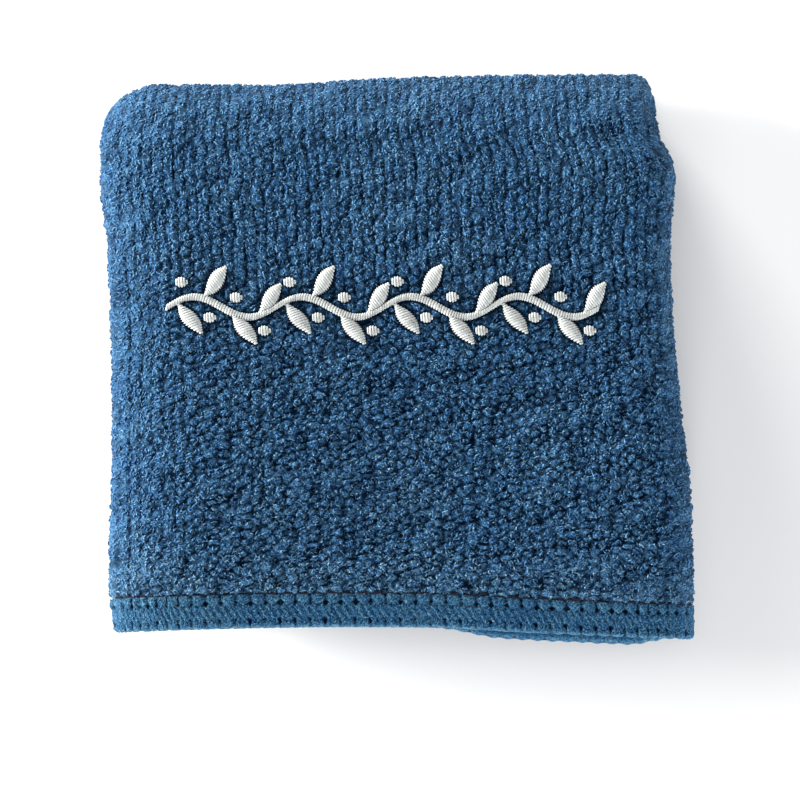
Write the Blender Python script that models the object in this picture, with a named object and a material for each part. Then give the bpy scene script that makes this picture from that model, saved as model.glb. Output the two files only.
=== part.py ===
"""Folded terry cleaning cloth, lying on a surface with its face up.

One square sheet, folded twice. The first fold brings both sides in behind the face, the left side
first and the right side under it. The second fold rolls that strip up along its length: the face
runs from the front hem to a thick round bend, back along the surface, and up into the middle.

X runs across the cloth, Y from the front hem to the round bend, Z up. The origin is on the surface,
under the middle of the cloth. Lengths are in metres.
"""

import bmesh
import bpy
import numpy as np

MM = 0.001

# The cloth before it is folded
CLOTH_ACROSS = 305 * MM
CLOTH_ALONG = 305 * MM
TERRY_THICKNESS = 2.2 * MM
HEM_THICKNESS = 1.6 * MM
HEM_WIDTH = 7.2 * MM
HEM_STEP = 0.8 * MM

# The cloth once folded
FOLDED_WIDTH = 115 * MM
FOLDED_LENGTH = 110 * MM
LAYER_GAP = 0.6 * MM
LEFT_FLAP = 82 * MM
NEAR_BEND_SET_BACK = 8 * MM

# Levels of the folded layers
LAYER_PITCH = TERRY_THICKNESS + LAYER_GAP
STRIP_THICKNESS = 2 * LAYER_PITCH + TERRY_THICKNESS
STRIP_PITCH = STRIP_THICKNESS + LAYER_GAP
STACK_HEIGHT = 2 * STRIP_PITCH + STRIP_THICKNESS

# First fold: left flap, left bend, face, right bend, right flap
LEFT_BEND_RADIUS = LAYER_PITCH / 2
RIGHT_BEND_RADIUS = LAYER_PITCH
FACE_RUN = FOLDED_WIDTH - LEFT_BEND_RADIUS - RIGHT_BEND_RADIUS - TERRY_THICKNESS
SIDE_BENDS = np.pi * (LEFT_BEND_RADIUS + RIGHT_BEND_RADIUS)
RIGHT_FLAP = CLOTH_ACROSS - FACE_RUN - LEFT_FLAP - SIDE_BENDS

# Second fold: front run, round bend, lower run, near bend, inner run
ROUND_BEND_RADIUS = (STACK_HEIGHT - TERRY_THICKNESS) / 2
NEAR_BEND_RADIUS = (STRIP_PITCH + STRIP_THICKNESS - TERRY_THICKNESS) / 2
FRONT_RUN = FOLDED_LENGTH - ROUND_BEND_RADIUS - TERRY_THICKNESS / 2
LOWER_RUN = FRONT_RUN - NEAR_BEND_SET_BACK - NEAR_BEND_RADIUS - TERRY_THICKNESS / 2
END_BENDS = np.pi * (ROUND_BEND_RADIUS + NEAR_BEND_RADIUS)
INNER_RUN = CLOTH_ALONG - FRONT_RUN - LOWER_RUN - END_BENDS

# Steps of the mesh
FACE_STEPS = 12
LENGTH_STEPS = 10
LEFT_BEND_STEPS = 5
RIGHT_BEND_STEPS = 6
ROUND_BEND_STEPS = 11
NEAR_BEND_STEPS = 8

# The right flap's hem shows under the front hem
PEEK_DROP = 1.5 * MM
PEEK_RISE = 9.5 * MM
PEEK_HOLD = 34 * MM
PEEK_FALL = 14 * MM
PEEK_REACH = 45 * MM

# Outline of the folded cloth seen from above: place along Y, left edge and right edge along X
OUTLINE = (
    # y, left, right
    (-56, -56.9, 58.5),
    (-47, -57.6, 58.1),
    (-38, -57.6, 57.9),
    (-24, -57.3, 57.3),
    (-10, -57.2, 55.6),
    (6, -57.5, 54.3),
    (22, -58.3, 53.6),
    (33, -59.6, 54.4),
    (39, -59.8, 54.2),
    (43, -59.7, 52.1),
    (47, -59.3, 51.2),
    (56, -58.7, 50.9),
)

# Shift of the front hem along Y: place along X and shift
HEM_WAVE = (
    # x, shift
    (-58, -0.4),
    (-40, 0.3),
    (-10, 0.8),
    (8, 0.6),
    (26, -0.4),
    (44, -1.2),
    (58, -1.7),
)
HEM_WAVE_REACH = 60 * MM

# Shift of the round bend along Y: place along X and shift
ROLL_WAVE = (
    # x, shift
    (-58, 0.3),
    (-40, 0.0),
    (-20, 0.1),
    (0, 1.2),
    (18, 1.8),
    (34, 2.0),
    (58, 2.0),
)
ROLL_WAVE_REACH = 50 * MM

# Where the top is let down: its depth at the edge and the distance over which it falls
LEFT_FALL = (6.0 * MM, 22 * MM)
RIGHT_FALL = (3.0 * MM, 12 * MM)
HEM_FALL = (2.5 * MM, 16 * MM)
ROLL_FALL = (5.0 * MM, 34 * MM)

# Rounding of the two far corners: how far the edge draws back, and over what width
LEFT_CORNER = (5.0 * MM, 11 * MM)
RIGHT_CORNER = (1.2 * MM, 2.4 * MM)
CORNER_REACH = 16 * MM

# Soft hollows and swells of the top: place, half lengths across and along, turn and height
SOFT_FORMS = (
    # x, y, across, along, turn in degrees, height
    (-20, 18, 30, 14, -12, -0.9),
    (22, 30, 26, 9, 8, 0.7),
    (30, -6, 24, 7, 14, -0.8),
    (38, -26, 26, 6, 10, 0.6),
    (-28, -22, 20, 16, 20, 0.7),
    (4, -34, 28, 8, -6, -0.7),
)

FABRIC_COLOUR = (0.030, 0.074, 0.140, 1.0)
FABRIC_ROUGHNESS = 0.95


def smooth_step(value):
    """Rise from 0 to 1 with level ends."""
    value = np.clip(value, 0.0, 1.0)
    return value * value * (3.0 - 2.0 * value)


def smooth_table(rows, column, place):
    """Read one column of a table at any place, along a smooth curve through its rows."""
    table = np.array(rows) * MM
    keys = table[:, 0]
    values = table[:, column]
    slopes = np.gradient(values, keys)
    place = np.clip(place, keys[0], keys[-1])
    row = np.clip(np.searchsorted(keys, place) - 1, 0, len(keys) - 2)
    width = keys[row + 1] - keys[row]
    share = (place - keys[row]) / width
    rise = smooth_step(share)
    from_start = share * (1 - share) ** 2 * slopes[row] * width
    from_end = share**2 * (share - 1) * slopes[row + 1] * width
    return values[row] * (1 - rise) + values[row + 1] * rise + from_start + from_end


def folded_line(distance, runs, radii, start):
    """Follow a straight run, a half turn to the right, and so on, for three runs and two bends.

    Gives the place and the left-hand normal at each distance.
    """
    first_run, second_run, _ = runs
    first_radius, second_radius = radii
    first_arc = np.pi * first_radius
    second_arc = np.pi * second_radius
    after_first = distance - first_run
    after_second = after_first - first_arc - second_run
    first_turn = np.clip(after_first / first_radius, 0, np.pi)
    second_turn = np.clip(after_second / second_radius, 0, np.pi)
    first_straight = np.minimum(distance, first_run)
    second_straight = np.clip(after_first - first_arc, 0, second_run)
    third_straight = np.maximum(after_second - second_arc, 0)
    along = first_straight + first_radius * np.sin(first_turn) - second_straight
    along += third_straight - second_radius * np.sin(second_turn)
    height = -first_radius * (1 - np.cos(first_turn)) + second_radius * (1 - np.cos(second_turn))
    turn = first_turn + second_turn
    return start[0] + along, start[1] + height, np.sin(turn), np.cos(turn)


def fold_across(across, offset):
    """First fold: place across the strip, and depth below its face, which is level 0."""
    # This line starts at the left flap's free edge and heads left, so it is worked out turned over
    place, depth, normal_along, normal_up = folded_line(
        across,
        (LEFT_FLAP, FACE_RUN, RIGHT_FLAP),
        (LEFT_BEND_RADIUS, RIGHT_BEND_RADIUS),
        (0.0, 0.0),
    )
    left_centre = -FOLDED_WIDTH / 2 + LEFT_BEND_RADIUS + TERRY_THICKNESS / 2
    x = left_centre + LEFT_FLAP - place - offset * normal_along
    level = -2 * LEFT_BEND_RADIUS - depth - offset * normal_up
    return x, level


def fold_along(along, level):
    """Second fold: place along Y and height, for a depth below the face."""
    y, z, normal_y, normal_z = folded_line(
        along,
        (FRONT_RUN, LOWER_RUN, INNER_RUN),
        (ROUND_BEND_RADIUS, NEAR_BEND_RADIUS),
        (-FOLDED_LENGTH / 2, STACK_HEIGHT - TERRY_THICKNESS / 2),
    )
    return y + level * normal_y, z + level * normal_z


def peeking_hem(across, along):
    """Let the right flap's hem slip down a little, so that it shows under the front hem."""
    past_bend = across - (CLOTH_ACROSS - RIGHT_FLAP)
    rise = smooth_step(past_bend / PEEK_RISE)
    fall = smooth_step((past_bend - PEEK_HOLD) / PEEK_FALL)
    near_hem = 1 - smooth_step(along / PEEK_REACH)
    return along - PEEK_DROP * rise * (1 - fall) * near_hem


def soft_height(x, y):
    """Height of the hollows and swells at a place on the top."""
    height = np.zeros_like(x)
    for centre_x, centre_y, half_across, half_along, degrees, rise in SOFT_FORMS:
        turn = np.radians(degrees)
        offset_x = x / MM - centre_x
        offset_y = y / MM - centre_y
        across = (offset_x * np.cos(turn) + offset_y * np.sin(turn)) / half_across
        along = (offset_y * np.cos(turn) - offset_x * np.sin(turn)) / half_along
        height += rise * MM * np.exp(-(across**2) - along**2)
    return height


def settle(x, y, z):
    """Bring the square-folded stack to the outline and the soft, uneven top of real cloth."""
    hem_fade = 1 - smooth_step((y + FOLDED_LENGTH / 2) / HEM_WAVE_REACH)
    y = y + smooth_table(HEM_WAVE, 1, x) * hem_fade
    roll_fade = smooth_step((y - FOLDED_LENGTH / 2 + ROLL_WAVE_REACH) / ROLL_WAVE_REACH)
    y = y + smooth_table(ROLL_WAVE, 1, x) * roll_fade
    half_width = FOLDED_WIDTH / 2
    corner = smooth_step((y - FOLDED_LENGTH / 2 + CORNER_REACH) / CORNER_REACH)
    left_corner = np.clip((LEFT_CORNER[1] - half_width - x) / LEFT_CORNER[1], 0, 1) ** 2
    right_corner = np.clip((RIGHT_CORNER[1] - half_width + x) / RIGHT_CORNER[1], 0, 1) ** 2
    y = y - corner * (LEFT_CORNER[0] * left_corner + RIGHT_CORNER[0] * right_corner)

    fall = LEFT_FALL[0] * np.clip(1 - (x + half_width) / LEFT_FALL[1], 0, 1) ** 3
    fall += RIGHT_FALL[0] * np.clip(1 - (half_width - x) / RIGHT_FALL[1], 0, 1) ** 3
    fall += HEM_FALL[0] * (1 - smooth_step((y + FOLDED_LENGTH / 2) / HEM_FALL[1]))
    fall += ROLL_FALL[0] * np.clip(1 - (FOLDED_LENGTH / 2 - y) / ROLL_FALL[1], 0, 1) ** 3
    z = z * (1 - (fall - soft_height(x, y)) / STACK_HEIGHT)

    left = smooth_table(OUTLINE, 1, y)
    right = smooth_table(OUTLINE, 2, y)
    x = left + (x / FOLDED_WIDTH + 0.5) * (right - left)
    return x, y, z


def thickness(across, along):
    """Terry all over, thinner in the hem along the four edges."""
    to_side = np.minimum(across, CLOTH_ACROSS - across)
    to_end = np.minimum(along, CLOTH_ALONG - along)
    from_hem = np.clip((np.minimum(to_side, to_end) - HEM_WIDTH) / HEM_STEP, 0, 1)
    return HEM_THICKNESS + (TERRY_THICKNESS - HEM_THICKNESS) * from_hem


def run_lines(length, step):
    """Distances from a bend along a run that ends in a hem, in the steps that all layers share."""
    edge_lines = [length - HEM_WIDTH - HEM_STEP, length - HEM_WIDTH, length]
    lines = np.arange(0, edge_lines[0] - step / 3, step)
    return np.concatenate([lines, edge_lines])


def bend_lines(radius, steps):
    """Distances round a half turn, without its ends."""
    return np.pi * radius * np.arange(1, steps) / steps


def lines_across():
    """Every line of the mesh that runs along the cloth, as its distance from the left flap's edge."""
    step = FACE_RUN / FACE_STEPS
    left = LEFT_FLAP - run_lines(LEFT_FLAP, step)[::-1]
    left_bend = LEFT_FLAP + bend_lines(LEFT_BEND_RADIUS, LEFT_BEND_STEPS)
    face_start = LEFT_FLAP + np.pi * LEFT_BEND_RADIUS
    face = face_start + np.linspace(0, FACE_RUN, FACE_STEPS + 1)
    right_bend = face[-1] + bend_lines(RIGHT_BEND_RADIUS, RIGHT_BEND_STEPS)
    right = CLOTH_ACROSS - RIGHT_FLAP + run_lines(RIGHT_FLAP, step)
    return np.concatenate([left, left_bend, face, right_bend, right])


def lines_along():
    """Every line of the mesh that runs across the cloth, as its distance from the front hem."""
    step = LOWER_RUN / LENGTH_STEPS
    front = FRONT_RUN - run_lines(FRONT_RUN, step)[::-1]
    round_bend = FRONT_RUN + bend_lines(ROUND_BEND_RADIUS, ROUND_BEND_STEPS)
    lower_start = FRONT_RUN + np.pi * ROUND_BEND_RADIUS
    lower = lower_start + np.linspace(0, LOWER_RUN, LENGTH_STEPS + 1)
    near_bend = lower[-1] + bend_lines(NEAR_BEND_RADIUS, NEAR_BEND_STEPS)
    inner = CLOTH_ALONG - INNER_RUN + run_lines(INNER_RUN, step)
    return np.concatenate([front, round_bend, lower, near_bend, inner])


def sheet_points(across, along, side):
    """Points of the outer side (1) or the inner side (-1) of the folded sheet."""
    offset = side * thickness(across, along) / 2
    x, level = fold_across(across, offset)
    y, z = fold_along(peeking_hem(across, along), level)
    return np.stack(settle(x, y, z), axis=-1).reshape(-1, 3)


def grid_faces(rows, columns, first, flip):
    """Quads of a grid of points, numbered from first."""
    corner = first + np.arange(rows - 1)[:, None] * columns + np.arange(columns - 1)
    quads = np.stack([corner, corner + 1, corner + columns + 1, corner + columns], axis=-1)
    quads = quads.reshape(-1, 4)
    return quads[:, ::-1] if flip else quads


def rim_faces(rows, columns):
    """Quads that join the two sides round the cloth's edge."""
    bottom = np.arange(columns)
    right = np.arange(rows) * columns + columns - 1
    top = (rows - 1) * columns + np.arange(columns)[::-1]
    left = np.arange(rows)[::-1] * columns
    loop = np.concatenate([bottom[:-1], right[:-1], top[:-1], left[:-1]])
    ahead = np.roll(loop, -1)
    other_side = rows * columns
    return np.stack([ahead, loop, loop + other_side, ahead + other_side], axis=-1)


def build_cloth():
    """Make the folded sheet as one closed mesh."""
    across, along = np.meshgrid(lines_across(), lines_along())
    rows, columns = across.shape
    points = np.concatenate([sheet_points(across, along, 1), sheet_points(across, along, -1)])
    middle = (points.min(axis=0) + points.max(axis=0)) / 2
    points[:, :2] -= middle[:2]
    faces = np.concatenate(
        [
            grid_faces(rows, columns, 0, False),
            grid_faces(rows, columns, rows * columns, True),
            rim_faces(rows, columns),
        ]
    )
    mesh = bpy.data.meshes.new("cloth")
    mesh.from_pydata(points.tolist(), [], faces.tolist())
    shell = bmesh.new()
    shell.from_mesh(mesh)
    bmesh.ops.recalc_face_normals(shell, faces=shell.faces)
    shell.to_mesh(mesh)
    shell.free()
    mesh.shade_smooth()
    cloth = bpy.data.objects.new("cloth", mesh)
    bpy.context.scene.collection.objects.link(cloth)
    return cloth


def fabric_material():
    """Deep blue matt terry."""
    material = bpy.data.materials.new("terry")
    material.use_nodes = True
    shader = material.node_tree.nodes["Principled BSDF"]
    shader.inputs["Base Color"].default_value = FABRIC_COLOUR
    shader.inputs["Roughness"].default_value = FABRIC_ROUGHNESS
    shader.inputs["Metallic"].default_value = 0.0
    return material


def main():
    """Clear the scene and build the cloth."""
    for old in list(bpy.data.objects):
        bpy.data.objects.remove(old, do_unlink=True)
    cloth = build_cloth()
    cloth.data.materials.append(fabric_material())


main()
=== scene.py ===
"""Folded terry cleaning cloth: looped pile, overlocked hem and an embroidered sprig.

Every piece is first worked out on the flat cloth, as a distance across it from the left flap's edge,
a distance along it from the front hem, and a height above its middle, and is then folded with it.
"""

import bpy
import numpy as np
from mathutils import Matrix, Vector


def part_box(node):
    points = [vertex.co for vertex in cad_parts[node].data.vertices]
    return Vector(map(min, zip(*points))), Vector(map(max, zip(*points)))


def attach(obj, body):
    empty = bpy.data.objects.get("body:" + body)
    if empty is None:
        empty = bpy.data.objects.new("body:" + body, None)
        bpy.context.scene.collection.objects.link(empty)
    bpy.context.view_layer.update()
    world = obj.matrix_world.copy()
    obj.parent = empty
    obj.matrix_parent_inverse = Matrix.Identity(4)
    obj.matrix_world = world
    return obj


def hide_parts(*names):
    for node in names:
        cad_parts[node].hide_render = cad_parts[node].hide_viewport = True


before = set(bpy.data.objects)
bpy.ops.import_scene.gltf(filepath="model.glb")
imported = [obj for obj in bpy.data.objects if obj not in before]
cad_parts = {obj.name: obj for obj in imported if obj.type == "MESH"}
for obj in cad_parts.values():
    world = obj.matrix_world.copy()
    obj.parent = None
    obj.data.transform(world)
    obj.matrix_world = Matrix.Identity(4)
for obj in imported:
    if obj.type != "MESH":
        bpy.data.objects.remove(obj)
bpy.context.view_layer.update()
CLOTH_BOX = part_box("cloth")

bl_info = {
    "name": "Folded Terry Cloth",
    "version": (1, 0, 0),
    "blender": (4, 5, 0),
    "location": "View3D > Sidebar > Terry Cloth",
    "description": "Builds a folded terry cloth with its pile, hem and embroidery",
    "category": "Add Mesh",
}

MM = 0.001
NODE = "cloth"
BODY = "root"

# The cloth before it is folded
CLOTH_ACROSS = 305 * MM
CLOTH_ALONG = 305 * MM
LAYER_THICKNESS = 2.2 * MM
HEM_WIDTH = 7.2 * MM

# The cloth once folded
FOLDED_WIDTH = 115 * MM
FOLDED_LENGTH = 110 * MM
LAYER_GAP = 0.6 * MM
LEFT_FLAP = 82 * MM
NEAR_BEND_SET_BACK = 8 * MM

# Levels of the folded layers
LAYER_PITCH = LAYER_THICKNESS + LAYER_GAP
STRIP_THICKNESS = 2 * LAYER_PITCH + LAYER_THICKNESS
STRIP_PITCH = STRIP_THICKNESS + LAYER_GAP
STACK_HEIGHT = 2 * STRIP_PITCH + STRIP_THICKNESS

# First fold: left flap, left bend, face, right bend, right flap
LEFT_BEND_RADIUS = LAYER_PITCH / 2
RIGHT_BEND_RADIUS = LAYER_PITCH
LEFT_CENTRE = -FOLDED_WIDTH / 2 + LEFT_BEND_RADIUS + LAYER_THICKNESS / 2
FACE_RUN = FOLDED_WIDTH - LEFT_BEND_RADIUS - RIGHT_BEND_RADIUS - LAYER_THICKNESS
FACE_START = LEFT_FLAP + np.pi * LEFT_BEND_RADIUS
FACE_END = FACE_START + FACE_RUN
RIGHT_FLAP_START = FACE_END + np.pi * RIGHT_BEND_RADIUS
RIGHT_FLAP = CLOTH_ACROSS - RIGHT_FLAP_START

# Second fold: front run, round bend, lower run, near bend, inner run
ROUND_BEND_RADIUS = (STACK_HEIGHT - LAYER_THICKNESS) / 2
NEAR_BEND_RADIUS = (STRIP_PITCH + STRIP_THICKNESS - LAYER_THICKNESS) / 2
FRONT_RUN = FOLDED_LENGTH - ROUND_BEND_RADIUS - LAYER_THICKNESS / 2
LOWER_RUN = FRONT_RUN - NEAR_BEND_SET_BACK - NEAR_BEND_RADIUS - LAYER_THICKNESS / 2
LOWER_START = FRONT_RUN + np.pi * ROUND_BEND_RADIUS
NEAR_START = LOWER_START + LOWER_RUN
INNER_START = NEAR_START + np.pi * NEAR_BEND_RADIUS
INNER_RUN = CLOTH_ALONG - INNER_START

# The hollow in the round bend, whose walls show from the sides
HOLLOW_START = FRONT_RUN - 24 * MM
HOLLOW_END = LOWER_START + 24 * MM
HOLLOW_REACH = 26 * MM

# The folded cloth's furthest reach to the right and to the back, before it is set in the frame
FOLDED_REACH = (58.199 * MM, 56.900 * MM)

# The right flap's hem shows under the front hem
PEEK_DROP = 1.5 * MM
PEEK_RISE = 9.5 * MM
PEEK_HOLD = 34 * MM
PEEK_FALL = 14 * MM
PEEK_REACH = 45 * MM

# Outline of the folded cloth seen from above: place along Y, left edge and right edge along X
OUTLINE = (
    # y, left, right
    (-56, -56.9, 58.5),
    (-47, -57.6, 58.1),
    (-38, -57.6, 57.9),
    (-24, -57.3, 57.3),
    (-10, -57.2, 55.6),
    (6, -57.5, 54.3),
    (22, -58.3, 53.6),
    (33, -59.6, 54.4),
    (39, -59.8, 54.2),
    (43, -59.7, 52.1),
    (47, -59.3, 51.2),
    (56, -58.7, 50.9),
)

# Shift of the front hem along Y: place along X and shift
HEM_WAVE = (
    # x, shift
    (-58, -0.4),
    (-40, 0.3),
    (-10, 0.8),
    (8, 0.6),
    (26, -0.4),
    (44, -1.2),
    (58, -1.7),
)
HEM_WAVE_REACH = 60 * MM

# Shift of the round bend along Y: place along X and shift
ROLL_WAVE = (
    # x, shift
    (-58, 0.3),
    (-40, 0.0),
    (-20, 0.1),
    (0, 1.2),
    (18, 1.8),
    (34, 2.0),
    (58, 2.0),
)
ROLL_WAVE_REACH = 50 * MM

# Where the top is let down: its depth at the edge and the distance over which it falls
LEFT_FALL = (6.0 * MM, 22 * MM)
RIGHT_FALL = (3.0 * MM, 12 * MM)
HEM_FALL = (2.5 * MM, 16 * MM)
ROLL_FALL = (5.0 * MM, 34 * MM)

# Rounding of the two far corners: how far the edge draws back, and over what width
LEFT_CORNER = (5.0 * MM, 11 * MM)
RIGHT_CORNER = (1.2 * MM, 2.4 * MM)
CORNER_REACH = 16 * MM

# Soft hollows and swells of the top: place, half lengths across and along, turn and height
SOFT_FORMS = (
    # x, y, across, along, turn in degrees, height
    (-20, 18, 30, 14, -12, -0.9),
    (22, 30, 26, 9, 8, 0.7),
    (30, -6, 24, 7, 14, -0.8),
    (38, -26, 26, 6, 10, 0.6),
    (-28, -22, 20, 16, 20, 0.7),
    (4, -34, 28, 8, -6, -0.7),
)


def length_setting(name, description, millimetres):
    """A setting that is a length."""
    return bpy.props.FloatProperty(
        name=name, description=description, default=millimetres * MM, unit="LENGTH"
    )


def colour_setting(name, description, value):
    """A setting that is a colour."""
    return bpy.props.FloatVectorProperty(
        name=name, description=description, default=value, subtype="COLOR", size=3
    )


class ClothSettings(bpy.types.PropertyGroup):
    """Sizes of the ground cloth."""

    ground_step: length_setting("Ground step", "Distance between the lines of the ground cloth's mesh", 3.0)
    ground_top: length_setting(
        "Ground top", "Height of the ground cloth under the pile, above its middle", 0.35
    )


class PileSettings(bpy.types.PropertyGroup):
    """Sizes and colours of the looped pile."""

    wale: length_setting("Wale", "Distance between the columns of tufts", 2.2)
    course: length_setting("Course", "Distance between the tufts of one column", 1.35)
    height: length_setting("Height", "Height of a tuft above the ground cloth", 1.05)
    step: length_setting("Step", "Distance between the lines of the pile's mesh on the face", 0.43)
    strand: length_setting("Strand", "Radius of the curled strands on the tufts", 0.16)
    strand_count: bpy.props.IntProperty(
        name="Strands",
        description="Number of curled strands on the face and the round bend",
        default=36000,
    )
    # The root colour is painted shade: the colour taken deep between the tufts, where their shade falls
    root_shade_colour: colour_setting("Root colour", "Colour deep between the tufts", (0.0006, 0.0075, 0.021))
    tip_colour: colour_setting("Tip colour", "Colour at the top of the tufts", (0.036, 0.104, 0.190))


class HemSettings(bpy.types.PropertyGroup):
    """Sizes and colours of the overlocked hem."""

    stitch: length_setting("Stitch", "Distance from one overlock stitch to the next", 2.95)
    thread_colour: colour_setting("Thread colour", "Colour of the overlock thread", (0.031, 0.096, 0.160))
    needle_colour: colour_setting(
        "Needle thread colour", "Colour of the straight stitches above the hem", (0.011, 0.010, 0.018)
    )


class SprigSettings(bpy.types.PropertyGroup):
    """Sizes and colour of the embroidered sprig."""

    thread: length_setting("Thread", "Radius of the embroidery thread", 0.29)
    spacing: length_setting("Spacing", "Distance between neighbouring satin stitches", 0.5)
    colour: colour_setting("Colour", "Colour of the embroidery thread", (0.29, 0.305, 0.298))


class StageSettings(bpy.types.PropertyGroup):
    """Floor and lights."""

    floor_colour: colour_setting("Floor colour", "Colour of the floor", (0.52, 0.52, 0.52))
    key_power: bpy.props.FloatProperty(
        name="Key power",
        description="Power in watts that each light has a share or a multiple of",
        default=14.2,
    )


def smooth_step(value):
    """Rise from 0 to 1 with level ends: three times the square less twice the cube."""
    value = np.clip(value, 0.0, 1.0)
    return value * value * (3.0 - 2.0 * value)


def fade(distance, reach):
    """Rise smoothly from 0 where the distance is 0 to 1 where it is the reach."""
    return smooth_step(distance / reach)


def bell(distance, reach):
    """A bell-shaped mound, 1 at its middle: e to the power of minus the square of distance by reach."""
    return np.exp(-((distance / reach) ** 2))


def smooth_table(rows, column, place):
    """Read one column of a table at any place, along cubic curves from row to row."""
    table = np.array(rows) * MM
    keys = table[:, 0]
    values = table[:, column]
    slopes = np.gradient(values, keys)
    place = np.clip(place, keys[0], keys[-1])
    row = np.clip(np.searchsorted(keys, place) - 1, 0, len(keys) - 2)
    width = keys[row + 1] - keys[row]
    share = (place - keys[row]) / width
    rise = smooth_step(share)
    from_start = share * (1 - share) ** 2 * slopes[row] * width
    from_end = share**2 * (share - 1) * slopes[row + 1] * width
    return values[row] * (1 - rise) + values[row + 1] * rise + from_start + from_end


def folded_line(distance, runs, radii, start):
    """Follow a straight run, a half turn to the right, and so on, for three runs and two bends.

    Gives the place and the left-hand normal at each distance.
    """
    first_run, second_run, _ = runs
    first_radius, second_radius = radii
    first_arc = np.pi * first_radius
    second_arc = np.pi * second_radius
    after_first = distance - first_run
    after_second = after_first - first_arc - second_run
    first_turn = np.clip(after_first / first_radius, 0, np.pi)
    second_turn = np.clip(after_second / second_radius, 0, np.pi)
    first_straight = np.minimum(distance, first_run)
    second_straight = np.clip(after_first - first_arc, 0, second_run)
    third_straight = np.maximum(after_second - second_arc, 0)
    along = first_straight + first_radius * np.sin(first_turn) - second_straight
    along += third_straight - second_radius * np.sin(second_turn)
    height = -first_radius * (1 - np.cos(first_turn)) + second_radius * (1 - np.cos(second_turn))
    turn = first_turn + second_turn
    return start[0] + along, start[1] + height, np.sin(turn), np.cos(turn)


def fold_across(across, offset):
    """First fold: place across the strip, and depth below its face, which is level 0."""
    place, depth, normal_along, normal_up = folded_line(
        across,
        (LEFT_FLAP, FACE_RUN, RIGHT_FLAP),
        (LEFT_BEND_RADIUS, RIGHT_BEND_RADIUS),
        (0.0, 0.0),
    )
    x = LEFT_CENTRE + LEFT_FLAP - place - offset * normal_along
    level = -2 * LEFT_BEND_RADIUS - depth - offset * normal_up
    return x, level


def fold_along(along, level):
    """Second fold: place along Y and height, for a depth below the face."""
    y, z, normal_y, normal_z = folded_line(
        along,
        (FRONT_RUN, LOWER_RUN, INNER_RUN),
        (ROUND_BEND_RADIUS, NEAR_BEND_RADIUS),
        (-FOLDED_LENGTH / 2, STACK_HEIGHT - LAYER_THICKNESS / 2),
    )
    return y + level * normal_y, z + level * normal_z


def peeking_hem(across, along):
    """Let the right flap's hem slip down a little, so that it shows under the front hem."""
    past_bend = across - RIGHT_FLAP_START
    slip = fade(past_bend, PEEK_RISE) * (1 - fade(past_bend - PEEK_HOLD, PEEK_FALL))
    return along - PEEK_DROP * slip * (1 - fade(along, PEEK_REACH))


def soft_height(x, y):
    """Height of the hollows and swells at a place: one bell-shaped mound for each row."""
    height = np.zeros_like(x)
    for centre_x, centre_y, half_across, half_along, degrees, rise in SOFT_FORMS:
        turn = np.radians(degrees)
        offset_x = x / MM - centre_x
        offset_y = y / MM - centre_y
        across = (offset_x * np.cos(turn) + offset_y * np.sin(turn)) / half_across
        along = (offset_y * np.cos(turn) - offset_x * np.sin(turn)) / half_along
        height += rise * MM * np.exp(-(across**2) - along**2)
    return height


def settle(x, y, z):
    """Bring the square-folded stack to the outline and the soft, uneven top of real cloth."""
    hem_fade = 1 - fade(y + FOLDED_LENGTH / 2, HEM_WAVE_REACH)
    y = y + smooth_table(HEM_WAVE, 1, x) * hem_fade
    roll_fade = fade(y - FOLDED_LENGTH / 2 + ROLL_WAVE_REACH, ROLL_WAVE_REACH)
    y = y + smooth_table(ROLL_WAVE, 1, x) * roll_fade
    half_width = FOLDED_WIDTH / 2
    corner = fade(y - FOLDED_LENGTH / 2 + CORNER_REACH, CORNER_REACH)
    left_corner = np.clip((LEFT_CORNER[1] - half_width - x) / LEFT_CORNER[1], 0, 1) ** 2
    right_corner = np.clip((RIGHT_CORNER[1] - half_width + x) / RIGHT_CORNER[1], 0, 1) ** 2
    y = y - corner * (LEFT_CORNER[0] * left_corner + RIGHT_CORNER[0] * right_corner)

    fall = LEFT_FALL[0] * np.clip(1 - (x + half_width) / LEFT_FALL[1], 0, 1) ** 3
    fall += RIGHT_FALL[0] * np.clip(1 - (half_width - x) / RIGHT_FALL[1], 0, 1) ** 3
    fall += HEM_FALL[0] * (1 - fade(y + FOLDED_LENGTH / 2, HEM_FALL[1]))
    fall += ROLL_FALL[0] * np.clip(1 - (FOLDED_LENGTH / 2 - y) / ROLL_FALL[1], 0, 1) ** 3
    z = z * (1 - (fall - soft_height(x, y)) / STACK_HEIGHT)

    left = smooth_table(OUTLINE, 1, y)
    right = smooth_table(OUTLINE, 2, y)
    x = left + (x / FOLDED_WIDTH + 0.5) * (right - left)
    return x, y, z


def folded(points):
    """Fold points of the flat cloth (across, along, height) and set them in the frame."""
    across, along, offset = np.moveaxis(points.reshape(-1, 3), 1, 0)
    x, level = fold_across(across, offset)
    y, z = fold_along(peeking_hem(across, along), level)
    x, y, z = settle(x, y, z)
    x = x + CLOTH_BOX[1][0] - FOLDED_REACH[0]
    y = y + CLOTH_BOX[1][1] - FOLDED_REACH[1]
    return np.stack([x, y, z], axis=-1)


def flat_place(x, y):
    """Distances across and along the flat cloth of a place on the face."""
    return FACE_START + x - LEFT_CENTRE, y + FOLDED_LENGTH / 2


def face_place(across, along):
    """Place on the face of distances across and along the flat cloth."""
    return across - FACE_START + LEFT_CENTRE, along - FOLDED_LENGTH / 2


def waves(across, along, length, seed):
    """Soft uneven values from -1 to 1: a sum of sine waves in drawn directions."""
    draw = np.random.default_rng(seed)
    total = np.zeros_like(across)
    count = 7
    for _ in range(count):
        heading = draw.uniform(0, np.pi)
        scale = length * draw.uniform(0.6, 1.6)
        phase = draw.uniform(0, 2 * np.pi)
        run = across * np.cos(heading) + along * np.sin(heading)
        total += np.sin(2 * np.pi * run / scale + phase)
    return total / np.sqrt(count * 2)


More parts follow.
